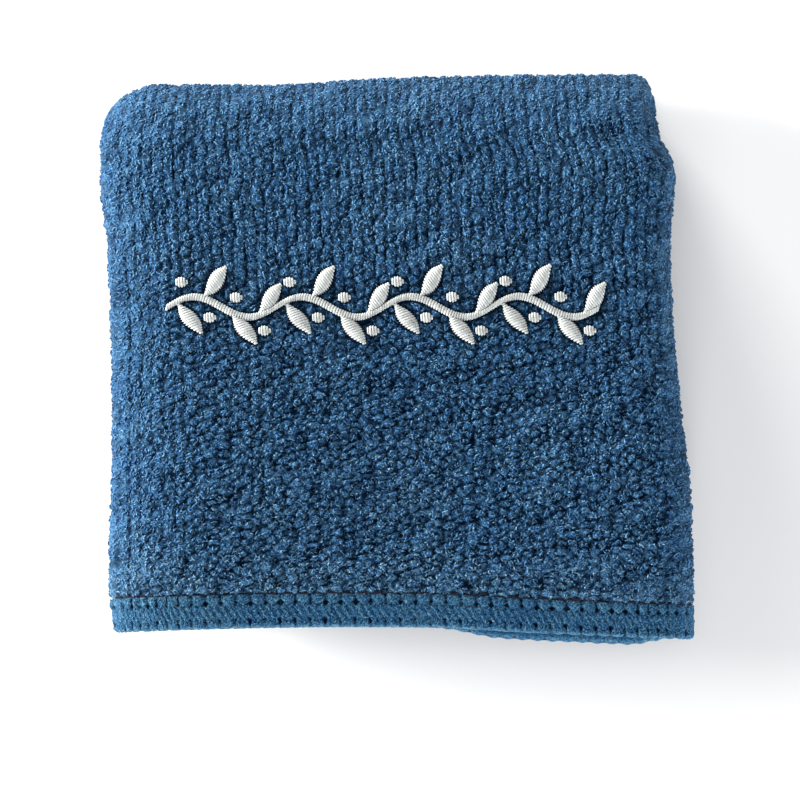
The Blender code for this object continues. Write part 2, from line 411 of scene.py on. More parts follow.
def grid_quads(rows, columns):
    """Quads of one grid of points, outward when columns run across and rows along."""
    corner = np.arange(rows - 1)[:, None] * columns + np.arange(columns - 1)
    quads = np.stack([corner, corner + 1, corner + columns + 1, corner + columns], axis=-1)
    return quads.reshape(-1, 4)


def grid_rim(rows, columns):
    """Points round the edge of a grid, in order."""
    return np.concatenate(
        [
            np.arange(columns - 1),
            np.arange(rows - 1) * columns + columns - 1,
            (rows - 1) * columns + np.arange(columns - 1, 0, -1),
            np.arange(rows - 1, 0, -1) * columns,
        ]
    )


def unit(vectors):
    """Vectors of length 1."""
    return vectors / np.maximum(np.linalg.norm(vectors, axis=-1, keepdims=True), 1e-12)


def strands(lines, radii, sides=3):
    """Closed strands along many centre lines: a ring at each inner point, one point at both ends.

    A ring stands square to the line's direction, and turns with the line without twisting.
    """
    count, length, _ = lines.shape
    heading = unit(np.gradient(lines, axis=1))[:, 1:-1]
    chord = lines[:, -1] - lines[:, 0]
    beside = np.cross(chord, (0.0, 0.0, 1.0))[:, None, :]
    first = unit(beside - np.sum(beside * heading, axis=-1, keepdims=True) * heading)
    second = np.cross(heading, first)
    angle = 2 * np.pi * (np.arange(sides) + 0.5) / sides
    ring = np.cos(angle)[:, None] * first[:, :, None] + np.sin(angle)[:, None] * second[:, :, None]
    radii = np.broadcast_to(radii, (count, length - 2))
    rings = lines[:, 1:-1, None] + radii[:, :, None, None] * ring
    points = np.concatenate([lines[:, :1], rings.reshape(count, -1, 3), lines[:, -1:]], axis=1)

    side = np.arange(sides)
    ahead = (side + 1) % sides
    start = 1 + np.arange(length - 3)[:, None] * sides
    wall = np.stack([start + side, start + ahead, start + sides + ahead, start + sides + side], axis=-1)
    last = (length - 2) * sides + 1
    near = np.stack([0 * side, 1 + ahead, 1 + side], axis=-1)
    far = np.stack([0 * side + last, last - sides + side, last - sides + ahead], axis=-1)
    first_point = np.arange(count)[:, None, None] * (last + 1)
    quads = (first_point + wall.reshape(-1, 4)).reshape(-1, 4)
    triangles = (first_point + np.concatenate([near, far])).reshape(-1, 3)
    return points.reshape(-1, 3), [quads, triangles]


def make_piece(name, points, faces, material, height, tint):
    """Fold points of the flat cloth, and put them into the scene as a mesh of arrays of faces.

    The height in the pile and the tint are given for each point, for each strand, or as one number.
    """
    points = folded(points)
    corners = np.concatenate([part.ravel() for part in faces])
    sizes = np.concatenate([np.full(len(part), part.shape[1]) for part in faces])
    starts = np.cumsum(sizes) - sizes
    mesh = bpy.data.meshes.new(name)
    mesh.vertices.add(len(points))
    mesh.vertices.foreach_set("co", points.astype(np.float32).ravel())
    mesh.loops.add(len(corners))
    mesh.loops.foreach_set("vertex_index", corners.astype(np.int32))
    mesh.polygons.add(len(sizes))
    mesh.polygons.foreach_set("loop_start", starts.astype(np.int32))
    mesh.update(calc_edges=True)
    for label, data in (("pile_height", height), ("yarn_tint", tint)):
        data = np.ravel(data)
        layer = mesh.attributes.new(label, "FLOAT", "POINT")
        layer.data.foreach_set("value", np.repeat(data, len(points) // len(data)).astype(np.float32))
    mesh.shade_smooth()
    mesh.materials.append(material)
    piece = bpy.data.objects.new(name, mesh)
    bpy.context.scene.collection.objects.link(piece)
    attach(piece, BODY)
    return piece


def fill(tree, node, inputs):
    """Give a node's inputs their values, or link them from the sockets given."""
    for label, value in inputs.items():
        if isinstance(value, bpy.types.NodeSocket):
            tree.links.new(value, node.inputs[label])
        else:
            node.inputs[label].default_value = value


def add_node(tree, kind, inputs, **settings):
    """Add a shader node with its settings and inputs."""
    node = tree.nodes.new(kind)
    for label, value in settings.items():
        setattr(node, label, value)
    fill(tree, node, inputs)
    return node


def calculate(tree, operation, *inputs):
    """Add a node that works one number out of others."""
    return add_node(tree, "ShaderNodeMath", dict(enumerate(inputs)), operation=operation).outputs["Value"]


def map_range(tree, value, inputs, **settings):
    """Add a node that maps one range of numbers onto another."""
    return add_node(tree, "ShaderNodeMapRange", {"Value": value, **inputs}, **settings).outputs["Result"]


def fibre_colour_group():
    """Colour of yarn: dark at its root as painted shade, light at its top, uneven from loop to loop and
    place to place, with flecks that are partly fibre tone and partly painted glints.

    Red and blue are scaled by powers of the brightness, so that bright yarn is paler and dark yarn bluer.
    """
    group = bpy.data.node_groups.new("Fibre colour", "ShaderNodeTree")
    for label, kind, value in (
        ("Root shade", "NodeSocketColor", (0, 0, 0, 1)),
        ("Tip", "NodeSocketColor", (1, 1, 1, 1)),
        ("Height", "NodeSocketFloat", 1.0),
        ("Tint", "NodeSocketFloat", 0.5),
        ("Fleck and glint", "NodeSocketFloat", 0.35),
        ("Red power", "NodeSocketFloat", 1.0),
        ("Blue power", "NodeSocketFloat", 1.0),
    ):
        group.interface.new_socket(label, in_out="INPUT", socket_type=kind).default_value = value
    for label, kind in (("Colour", "NodeSocketColor"), ("Fleck and glint", "NodeSocketFloat")):
        group.interface.new_socket(label, in_out="OUTPUT", socket_type=kind)
    given = group.nodes.new("NodeGroupInput").outputs
    place = add_node(group, "ShaderNodeTexCoord", {}).outputs["Object"]
    fine, broad = (
        add_node(group, "ShaderNodeTexNoise", {"Vector": place, **inputs}).outputs["Fac"]
        for inputs in (
            {"Scale": 3000.0, "Detail": 2.0, "Distortion": 0.8},
            {"Scale": 60.0, "Detail": 3.0},
        )
    )
    # Painted shade: the colour runs from the root colour where the height is low to the tip colour at the
    # top, standing in for the shade deep between tufts, in holes and in gaps
    rise = map_range(group, given["Height"], {"From Min": 0.15}, interpolation_type="SMOOTHSTEP")
    depth = add_node(
        group, "ShaderNodeMix", {"Factor": rise, "A": given["Root shade"], "B": given["Tip"]}, data_type="RGBA"
    )
    # Flecks: fine noise that is partly random fibre tone and partly painted glints, bright and dark
    fleck_and_glint = map_range(group, fine, {"From Min": 0.40, "From Max": 0.63, "To Min": -1.0})
    fleck_and_glint_share = calculate(group, "MULTIPLY_ADD", fleck_and_glint, given["Fleck and glint"], 1.0)
    tint = map_range(group, given["Tint"], {"To Min": 0.55, "To Max": 1.35})
    patch = map_range(group, broad, {"From Min": 0.3, "From Max": 0.7, "To Min": 0.9, "To Max": 1.12})
    brightness = calculate(group, "MULTIPLY", calculate(group, "MULTIPLY", tint, patch), fleck_and_glint_share)
    red = calculate(group, "POWER", brightness, given["Red power"])
    blue = calculate(group, "POWER", brightness, given["Blue power"])
    channels = add_node(group, "ShaderNodeCombineXYZ", {"X": red, "Y": brightness, "Z": blue})
    shaded = add_node(
        group,
        "ShaderNodeVectorMath",
        {0: depth.outputs["Result"], 1: channels.outputs["Vector"]},
        operation="MULTIPLY",
    )
    fill(group, group.nodes.new("NodeGroupOutput"), {"Colour": shaded.outputs["Vector"], "Fleck and glint": fine})
    return group


def yarn_material(
    name, root, tip, fleck_and_glint=0.72, powers=(1.75, 0.52), sheen=0.06, sheen_tint=(0.70, 0.84, 1.0), bump=0.8
):
    """Matt yarn: fibre colour, a soft sheen and fine bumps of fibres. Each name is made once."""
    known = bpy.data.materials.get(name)
    if known:
        return known
    material = bpy.data.materials.new(name)
    material.use_nodes = True
    tree = material.node_tree
    fibres = bpy.data.node_groups.get("Fibre colour") or fibre_colour_group()
    colour = add_node(
        tree,
        "ShaderNodeGroup",
        {
            "Root shade": (*root, 1.0),
            "Tip": (*tip, 1.0),
            "Height": add_node(tree, "ShaderNodeAttribute", {}, attribute_name="pile_height").outputs["Fac"],
            "Tint": add_node(tree, "ShaderNodeAttribute", {}, attribute_name="yarn_tint").outputs["Fac"],
            "Fleck and glint": fleck_and_glint,
            "Red power": powers[0],
            "Blue power": powers[1],
        },
        node_tree=fibres,
    )
    relief = add_node(
        tree,
        "ShaderNodeBump",
        {"Strength": bump, "Distance": 0.12 * MM, "Height": colour.outputs["Fleck and glint"]},
    )
    fill(
        tree,
        tree.nodes["Principled BSDF"],
        {
            "Base Color": colour.outputs["Colour"],
            "Normal": relief.outputs["Normal"],
            "Roughness": 0.85,
            "Specular IOR Level": 0.01,
            "Sheen Weight": sheen,
            "Sheen Roughness": 0.5,
            "Sheen Tint": (*sheen_tint, 1.0),
        },
    )
    return material


def pile_material():
    """Blue microfibre pile."""
    settings = bpy.context.scene.terry_pile
    return yarn_material("blue pile", settings.root_shade_colour, settings.tip_colour)


def hem_material():
    """Teal overlock thread, darker and bluer in its holes as painted shade."""
    light = bpy.context.scene.terry_hem.thread_colour
    dark = tuple(share * part for share, part in zip((0.03, 0.09, 0.14), light))
    return yarn_material("teal thread", dark, light, fleck_and_glint=0.6)


def run_lines(length, step):
    """Even distances along a run, its start left out."""
    count = max(1, round(length / step))
    return length * np.arange(1, count + 1) / count


def ground_lines():
    """Lines of the ground cloth's mesh across and along, closer round the bends."""
    step = bpy.context.scene.terry_cloth.ground_step
    bend_step = step * 0.3
    across = [np.zeros(1)]
    for length, spacing in (
        (LEFT_FLAP, 2 * step),
        (np.pi * LEFT_BEND_RADIUS, bend_step),
        (FACE_RUN, step),
        (np.pi * RIGHT_BEND_RADIUS, bend_step),
        (RIGHT_FLAP, 2 * step),
    ):
        across.append(across[-1][-1] + run_lines(length, spacing))
    along = [np.zeros(1)]
    for length, spacing in (
        (FRONT_RUN, step),
        (np.pi * ROUND_BEND_RADIUS, 0.6 * step),
        (LOWER_RUN, step),
        (np.pi * NEAR_BEND_RADIUS, 0.6 * step),
        (INNER_RUN, 2 * step),
    ):
        along.append(along[-1][-1] + run_lines(length, spacing))
    return np.concatenate(across), np.concatenate(along)


# The pile's mats: how far one reaches past a bend or under another, and how its loops begin at their edge
MAT_REACH = 3 * MM
COVER_REACH = 4 * MM
COVER_FADE = 3 * MM


def pile_cover(across, along):
    """1 where loops stand on the ground cloth, 0 where only the bare ground is made."""
    hollow = fade(along - HOLLOW_START, COVER_FADE) * fade(HOLLOW_END - along, COVER_FADE)
    reach = COVER_REACH + HOLLOW_REACH * hollow
    left = fade(across - LEFT_FLAP + reach, COVER_FADE)
    right = fade(RIGHT_FLAP_START + reach - across, COVER_FADE)
    hem = fade(along - HEM_WIDTH + 0.2 * MM, 0.7 * MM)
    inner_side = fade(INNER_START + MAT_REACH - along, COVER_FADE)
    side = np.maximum(fade(FACE_START + 2 * MM - across, 2 * MM), fade(across - FACE_END + 2 * MM, 2 * MM))
    return left * right * hem * np.maximum(inner_side, side)


class TERRY_OT_ground_cloth(bpy.types.Operator):
    """Build the folded ground cloth that the pile stands on"""

    bl_idname = "terry.ground_cloth"
    bl_label = "Ground Cloth"

    def execute(self, context):
        across, along = np.meshgrid(*ground_lines())
        along = np.maximum(along, 1.2 * MM)
        rows, columns = across.shape
        half = LAYER_THICKNESS / 2
        to_end = np.minimum(along, CLOTH_ALONG - along)
        in_hem = 1 - fade(to_end - HEM_WIDTH + 1 * MM, 1.5 * MM)
        cover = pile_cover(across, along)
        outer = half * (1 - cover) + context.scene.terry_cloth.ground_top * cover
        outer = outer * (1 - in_hem) + 0.08 * MM * in_hem
        inner = -half * (1 - in_hem) - 0.25 * MM * in_hem
        top = np.stack([across, along, outer], axis=-1)
        bottom = np.stack([across, along, inner], axis=-1)
        quads = grid_quads(rows, columns)
        rim = grid_rim(rows, columns)
        ahead = np.roll(rim, -1)
        other = rows * columns
        wall = np.stack([ahead, rim, rim + other, ahead + other], axis=-1)
        points = np.concatenate([top.reshape(-1, 3), bottom.reshape(-1, 3)])
        faces = [quads, quads[:, ::-1] + other, wall]
        pile = context.scene.terry_pile
        knit = yarn_material("ground knit", pile.root_shade_colour, pile.tip_colour, powers=(1.1, 0.9), sheen=0.0)
        piece = make_piece("ground_cloth", points, faces, knit, height=0.6, tint=0.3)
        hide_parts(NODE)
        return {"FINISHED"}


# Embroidered sprig: a waving stem with leaves and berries in turn above and below it
SPRIG_CENTRE = (-1.5 * MM, 9.3 * MM)
SPRIG_HALF_LENGTH = 44 * MM
STEM_RISE = 2.0 * MM
STEM_WAVE = 22 * MM
STEM_HALF_WIDTH = 0.75 * MM
LEAF_HALF_LENGTH = 3.6 * MM
LEAF_HALF_WIDTH = 1.75 * MM
LEAF_TILT = np.radians(52)
BERRY_RADIUS = 1.15 * MM
BERRY_RISE = 3.4 * MM


def stem_height(x):
    """Height of the stem on the face: a sine wave."""
    return SPRIG_CENTRE[1] + STEM_RISE * np.sin(2 * np.pi * (x - SPRIG_CENTRE[0]) / STEM_WAVE)


def stem_places(lead):
    """Places along the stem a quarter of its wave apart, each with the side of it, 1 or -1, in turn."""
    spacing = STEM_WAVE / 4
    count = int(2 * SPRIG_HALF_LENGTH / spacing)
    start = SPRIG_CENTRE[0] - SPRIG_HALF_LENGTH
    return [(start + spacing * (number + lead), 1 if number % 2 else -1) for number in range(count)]


def leaf_shapes():
    """Middle, heading, half length and half width of every leaf."""
    leaves = []
    reach = LEAF_HALF_LENGTH + STEM_HALF_WIDTH
    for x, side in stem_places(0.35):
        heading = side * LEAF_TILT
        centre = (x + reach * np.cos(heading), stem_height(x) + reach * np.sin(heading))
        leaves.append((centre, heading, LEAF_HALF_LENGTH, LEAF_HALF_WIDTH))
    return leaves


def berry_shapes():
    """Middle and radius of every berry, on the other side of the stem from each leaf."""
    return [((x, stem_height(x) - side * BERRY_RISE), BERRY_RADIUS) for x, side in stem_places(0.55)]


def sprig_mask(x, y):
    """True where the embroidery holds the pile down."""
    covered = np.zeros(x.shape, bool)
    for centre, heading, half_length, half_width in leaf_shapes():
        along = (x - centre[0]) * np.cos(heading) + (y - centre[1]) * np.sin(heading)
        beside = (y - centre[1]) * np.cos(heading) - (x - centre[0]) * np.sin(heading)
        bound = np.clip(1 - (along / (half_length + 0.3 * MM)) ** 2, 0, 1)
        covered |= np.abs(beside) < (half_width + 0.3 * MM) * bound
    for centre, radius in berry_shapes():
        covered |= np.hypot(x - centre[0], y - centre[1]) < radius + 0.2 * MM
    on_stem = np.abs(y - stem_height(x)) < 1.1 * MM
    return covered | on_stem & (np.abs(x - SPRIG_CENTRE[0]) < SPRIG_HALF_LENGTH)


# Tufts drawn along and across before they repeat, and where and by what share their rows spread out
TUFT_TABLE = (211, 223)
COLUMNS_START = 62 * MM
ROW_STRETCH = 0.20

# Width of the creases between tufts, fall of a tuft's dome, and height left under the stitches
CREASE_WIDTH = 0.58 * MM
DOME_FALL = 0.24
DOME_REACH = 0.60
PRESSED = 0.45

# Brightness of the pile: its even tint, and how much paler the painted light makes it beside the hem
EVEN_TINT = 0.40
HEM_SIDE_LIGHT = 0.30

# What makes the pile uneven: length of the waves and seed of the draw
WANDER_ACROSS = (9 * MM, 18)
WANDER_ALONG = (6 * MM, 19)
COLUMN_DRIFT = (18 * MM, 17)
CREASE_WAVES = (4.5 * MM, 15)
FINE_WAVES = (1.3 * MM, 13)
BROAD_WAVES = (7 * MM, 14)


def tufts(across, along, columns):
    """The two nearest tufts of every place, with middles shifted at random from even rows.

    The rows wander, and the shift across is smaller where the columns show. Gives the nearest one's
    distance, how much further the second is, the share of the way between them that runs across the
    columns, and a value drawn for the nearest one.
    """
    settings = bpy.context.scene.terry_pile
    drawn = np.random.default_rng(21).random((*TUFT_TABLE, 4))
    across = across + 0.40 * MM * waves(across, along, *WANDER_ACROSS)
    along = along + 0.30 * MM * waves(across, along, *WANDER_ALONG)
    along = along - ROW_STRETCH * np.maximum(along - COLUMNS_START, 0)
    column = np.floor(across / settings.wale)
    row = np.floor(along / settings.course)
    nearest = np.full(across.shape, np.inf)
    second = np.full(across.shape, np.inf)
    middle = np.zeros((*across.shape, 2))
    other = np.zeros((*across.shape, 2))
    own = np.zeros(across.shape)
    for right in (-1, 0, 1):
        for up in (-1, 0, 1):
            drawn_row = (row + up).astype(int) % TUFT_TABLE[0]
            drawn_column = (column + right).astype(int) % TUFT_TABLE[1]
            values = drawn[drawn_row, drawn_column]
            stagger = 0.5 * ((column + right) % 2)
            shift = (0.70 - 0.34 * columns) * (values[..., 0] - 0.5)
            place_x = (column + right + 0.5 + shift) * settings.wale
            place_y = (row + up + 0.5 + stagger - 0.25 + 0.75 * (values[..., 1] - 0.5)) * settings.course
            place = np.stack([place_x, place_y], axis=-1)
            distance = np.hypot(across - place_x, along - place_y)
            closer = distance < nearest
            between = ~closer & (distance < second)
            other = np.where(closer[..., None], middle, np.where(between[..., None], place, other))
            second = np.where(closer, nearest, np.where(between, distance, second))
            middle = np.where(closer[..., None], place, middle)
            own = np.where(closer, values[..., 2], own)
            nearest = np.where(closer, distance, nearest)
    apart = other - middle
    sideways = apart[..., 0] ** 2 / np.maximum(np.sum(apart**2, axis=-1), 1e-12)
    return nearest, second - nearest, sideways, own


def columns_show(across, along):
    """1 where the columns of tufts show, at the sides and the round bend, 0 where rows show."""
    left = fade(FACE_START + 14 * MM - across, 20 * MM)
    right = fade(across - FACE_END + 26 * MM, 22 * MM) * fade(along - 45 * MM, 25 * MM)
    roll = fade(along - FRONT_RUN + 44 * MM, 32 * MM)
    drift = 0.25 * waves(across, along, *COLUMN_DRIFT)
    return np.clip(np.maximum.reduce([left, right, roll]) + drift + 0.25, 0, 1)


def calm(across, along):
    """1 at the two sides and the round bend, where the pile lies smoother, 0 on the rest of the face."""
    left = fade(FACE_START + 22 * MM - across, 20 * MM)
    right = fade(across - FACE_END + 4 * MM, 6 * MM)
    roll = fade(along - FRONT_RUN + 34 * MM, 24 * MM)
    return np.maximum.reduce([left, right, roll])


def hem_side_light(along):
    """1 beside the front hem, where painted light makes the pile paler, 0 further in."""
    return 1 - fade(along - HEM_WIDTH, 11 * MM)


def pile_top(across, along):
    """Height of the pile's top: a dome for each tuft, parted by creases, pressed down by stitches.

    Also gives the share of the full height, which the colour follows as painted shade, darker where the pile
    is lower.
    """
    settings = bpy.context.scene.terry_pile
    columns = columns_show(across, along)
    distance, gap, sideways, own = tufts(across, along, columns)
    crease = (0.35 + 0.65 * columns) * sideways + (1.0 - 0.60 * columns) * (1 - sideways)
    crease *= 1 - fade(gap, CREASE_WIDTH)
    crease *= np.clip(0.74 + 0.42 * waves(across, along, *CREASE_WAVES), 0.2, 1.15)
    crease *= 1 - 0.30 * calm(across, along)
    dome = 1 - DOME_FALL * (distance / (DOME_REACH * settings.wale)) ** 2
    fine = 0.06 * waves(across, along, *FINE_WAVES)
    broad = 0.10 * waves(across, along, *BROAD_WAVES)
    share = (0.76 + 0.32 * own) * dome * (1 - (0.84 + 0.08 * columns) * crease) + fine + broad
    share = np.clip(share, 0.06, 1.2)
    share = np.minimum(share, np.where(sprig_mask(*face_place(across, along)), PRESSED, 1.0))
    ground = bpy.context.scene.terry_cloth.ground_top
    below = fade(along - LOWER_START + 8 * MM, 8 * MM) * fade(INNER_START - 6 * MM - along, 6 * MM)
    flap = fade(LEFT_FLAP - across, 2 * MM) + fade(across - RIGHT_FLAP_START, 2 * MM)
    lower = np.maximum(below, flap)
    most = LAYER_THICKNESS / 2 - ground - 2 * settings.strand
    height = settings.height * share
    height = height * (1 - lower) + np.minimum(0.8 * height, most) * lower
    height *= pile_cover(across, along)
    return ground + height, share


def pile_mat(name, across_range, along_range, step):
    """A closed mat of tufts over one stretch of cloth: fine on top, coarser under it."""
    every = 4
    columns, rows = (
        every * round((end - start) / step / every) + 1 for start, end in (across_range, along_range)
    )
    across, along = np.meshgrid(np.linspace(*across_range, columns), np.linspace(*along_range, rows))
    top, share = pile_top(across, along)
    low_across, low_along = across[::every, ::every], along[::every, ::every]
    low = np.full(low_across.shape, -0.1 * MM)
    low_rows, low_columns = low.shape
    points = np.concatenate(
        [
            np.stack([across, along, top], axis=-1).reshape(-1, 3),
            np.stack([low_across, low_along, low], axis=-1).reshape(-1, 3),
        ]
    )
    under = rows * columns
    edge = grid_rim(rows, columns).reshape(-1, every)
    edge = np.concatenate([edge, np.roll(edge, -1, axis=0)[:, :1]], axis=1)
    low_edge = grid_rim(low_rows, low_columns) + under
    rim = np.concatenate([edge[:, ::-1], low_edge[:, None], np.roll(low_edge, -1)[:, None]], axis=1)
    bottom = grid_quads(low_rows, low_columns)[:, ::-1] + under
    faces = [grid_quads(rows, columns), bottom, rim]
    # Painted shade: the colour darkens with the pile's height, deepest in the creases and under the
    # stitches; the hidden side gets a middle value
    height = np.concatenate([0.62 * share.ravel(), np.full(low.size, 0.5)])
    # Painted light: the pile is paler beside the front hem
    tint = 0.5 + HEM_SIDE_LIGHT * hem_side_light(points[:, 1])
    return make_piece(name, points, faces, pile_material(), height, tint)


def bent_lines(across, along, heading, length, bend):
    """Short lines of four points round given places: straight runs, bent sideways as a parabola.

    Gives their places across and along, and each point's share of the length from the middle.
    """
    share = np.linspace(-0.5, 0.5, 4)
    run = share * length[:, None]
    beside = (0.25 - share**2) * 4 * bend[:, None]
    cosine, sine = np.cos(heading)[:, None], np.sin(heading)[:, None]
    u = across[:, None] + run * cosine - beside * sine
    v = along[:, None] + run * sine + beside * cosine
    return u, v, share


def pile_strands(name, across_range, along_range, count, seed):
    """Short curled strands that lie over the tufts: arcs bent sideways, dipping at both ends."""
    settings = bpy.context.scene.terry_pile
    draw = np.random.default_rng(seed)
    across = draw.uniform(*across_range, count)
    along = draw.uniform(*along_range, count)
    columns = columns_show(across, along)
    heading = columns * np.pi / 2 + draw.normal(0, 1.1, count)
    length = draw.uniform(0.55, 1.35, count) * MM
    bend = draw.normal(0, 0.20, count) * MM
    even = np.maximum(0.75 * calm(across, along), 0.55 * columns)
    tint = EVEN_TINT + (draw.random(count) ** 1.2 - EVEN_TINT) * (1 - even)
    # Painted light: the strands are paler beside the front hem
    tint += HEM_SIDE_LIGHT * hem_side_light(along)
    u, v, share = bent_lines(across, along, heading, length, bend)
    top, height = pile_top(u, v)
    lift = settings.strand * (0.9 - 6.72 * share**2)
    lines = np.stack([u, v, top + lift], axis=-1)
    height = height.mean(axis=1)
    keep = (v.min(axis=1) > HEM_WIDTH - 0.5 * MM) & (height > 0.35)
    keep &= ~sprig_mask(*face_place(across, along))
    points, faces = strands(lines[keep], settings.strand)
    # Painted shade: each strand is darker where the pile under it is lower
    return make_piece(name, points, faces, pile_material(), 0.22 + 0.75 * height[keep], tint[keep])


class TERRY_OT_pile(bpy.types.Operator):
    """Cover the folded cloth with looped pile"""

    bl_idname = "terry.pile"
    bl_label = "Looped Pile"

    def execute(self, context):
        settings = context.scene.terry_pile
        left, right = LEFT_FLAP - MAT_REACH, RIGHT_FLAP_START + MAT_REACH
        whole = (left, right)
        front = (HEM_WIDTH - 0.2 * MM, LOWER_START)
        under = (LOWER_START, INNER_START + MAT_REACH)
        inner = (INNER_START + MAT_REACH, CLOTH_ALONG - HEM_WIDTH)
        hollow = (HOLLOW_START, HOLLOW_END)
        for name, across_range, along_range, step in (
            ("front", whole, front, settings.step),
            ("under", whole, under, 0.8 * MM),
            ("inner_left", (left, FACE_START + MAT_REACH), inner, 0.6 * MM),
            ("inner_right", (FACE_END - MAT_REACH, right), inner, 0.6 * MM),
            ("hollow_left", (left - HOLLOW_REACH, left), hollow, 0.8 * MM),
            ("hollow_right", (right, right + HOLLOW_REACH), hollow, 0.8 * MM),
        ):
            pile_mat(f"pile_{name}", across_range, along_range, step)
        bounds = np.linspace(left, right, 4)
        third = settings.strand_count // 3
        for number, part in enumerate(zip(bounds[:-1], bounds[1:])):
            pile_strands(f"pile_strands_{number + 1}", part, front, third, seed=31 + number)
        pile_strands("pile_strands_under", whole, under, settings.strand_count // 6, seed=41)
        return {"FINISHED"}


# Places along the hem between which its stitches are counted
STITCH_PLACES = np.linspace(0, CLOTH_ACROSS, 3001)


def stitch_number(across):
    """Number of overlock stitches up to a place: even ones, set closer round the two side bends."""
    places = STITCH_PLACES
    closer = 1 + 0.85 * bell(places - FACE_START - 2 * MM, 8 * MM)
    closer += 0.70 * bell(places - FACE_END + 1 * MM, 7 * MM)
    numbers = np.cumsum(closer) * places[1] / bpy.context.scene.terry_hem.stitch
    return np.interp(across, places, numbers)


# Places in the hem, as distances from its inner line, and how far the lower holes lead the upper ones
HEM_TOP = 0.80 * MM
HEM_REACH = 6.75 * MM
UPPER_HOLES = 1.95 * MM
LOWER_HOLES = 5.25 * MM
HOLE_LEAD = 0.12

# Lines across and round the section of the front hem and of the far one
FRONT_BAND = (1051, 24)
FAR_BAND = (421, 12)

# Rise of the thread in the puffed blocks, depth of the holes and of the grooves between the blocks
BLOCK_RISE = 0.46 * MM
PIT_DEPTH = 0.68 * MM
GROOVE_DEPTH = 0.36 * MM

# What makes the hem uneven: length of the waves, in stitches for the first, and seed of the draw
STITCH_WAVES = (2.2, 63)
THREAD_SPOTS = (1.0 * MM, 61)
THREAD_PATCHES = (5 * MM, 62)

# Fluff on the hem: number of strands, share of them that lies on the face, and radius
FLUFF_COUNT = 8200
FLUFF_ON_FACE = 0.72
FLUFF_RADIUS = 0.10 * MM


def hem_relief(stitch, inward):
    """Height of the overlock thread: puffed blocks, a row of holes, slanting strands, holes, blocks.

    Also gives how deep a place lies in a hole or in the groove between two blocks.
    """
    lower = stitch + HOLE_LEAD
    share = stitch - np.floor(stitch)
    lower_share = lower - np.floor(lower)
    upper_gap = np.minimum(share, 1 - share)
    lower_gap = np.minimum(lower_share, 1 - lower_share)
    uneven = waves(stitch, inward / MM, *STITCH_WAVES)
    upper_blocks = 1 - fade(inward - UPPER_HOLES, 0.5 * MM)
    lower_blocks = fade(inward - LOWER_HOLES + 0.2 * MM, 0.4 * MM)
    puff = upper_blocks * np.sin(np.pi * share) ** 0.5 + lower_blocks * np.sin(np.pi * lower_share) ** 0.5
    slant = np.sin(2 * np.pi * (2 * stitch - inward / (2.6 * MM)))
    between = (1 - upper_blocks) * (1 - lower_blocks)
    height = BLOCK_RISE * puff + (0.24 + 0.10 * slant) * MM * between + 0.10 * MM * uneven

    from_upper = (inward - UPPER_HOLES) / MM
    from_lower = (inward - LOWER_HOLES) / MM
    upper_sag = from_upper + 0.35 * np.cos(2 * np.pi * share)
    lower_sag = from_lower + 0.30 * np.cos(2 * np.pi * lower_share)
    crease = 0.50 * bell(upper_sag, 0.20) + 0.40 * bell(lower_sag, 0.20)
    width = 0.12 - 0.14 * np.clip(from_upper, -0.3, 0.5)
    upper_hole = np.exp(-((upper_gap / width) ** 2) - (from_upper / 0.38) ** 2)
    lower_hole = np.exp(-((lower_gap / 0.11) ** 2) - (from_lower / 0.42) ** 2)
    groove = bell(upper_gap, 0.08) * upper_blocks
    groove += bell(lower_gap, 0.08) * lower_blocks
    holes = (0.70 + 0.75 * uneven) * (upper_hole + 0.85 * lower_hole)
    pit = np.clip(holes + (0.8 + 0.5 * uneven) * crease, 0, 1)
    groove *= 0.7 + 0.5 * uneven
    return height - PIT_DEPTH * pit - GROOVE_DEPTH * groove, np.clip(0.94 * pit + 0.60 * groove, 0, 1)


def hem_rim(inward):
    """Thickness of the hem's oval section: full at the pile, 0 at the outer edge."""
    return np.clip(1 - (inward / HEM_REACH) ** 8, 0, 1) ** 0.5


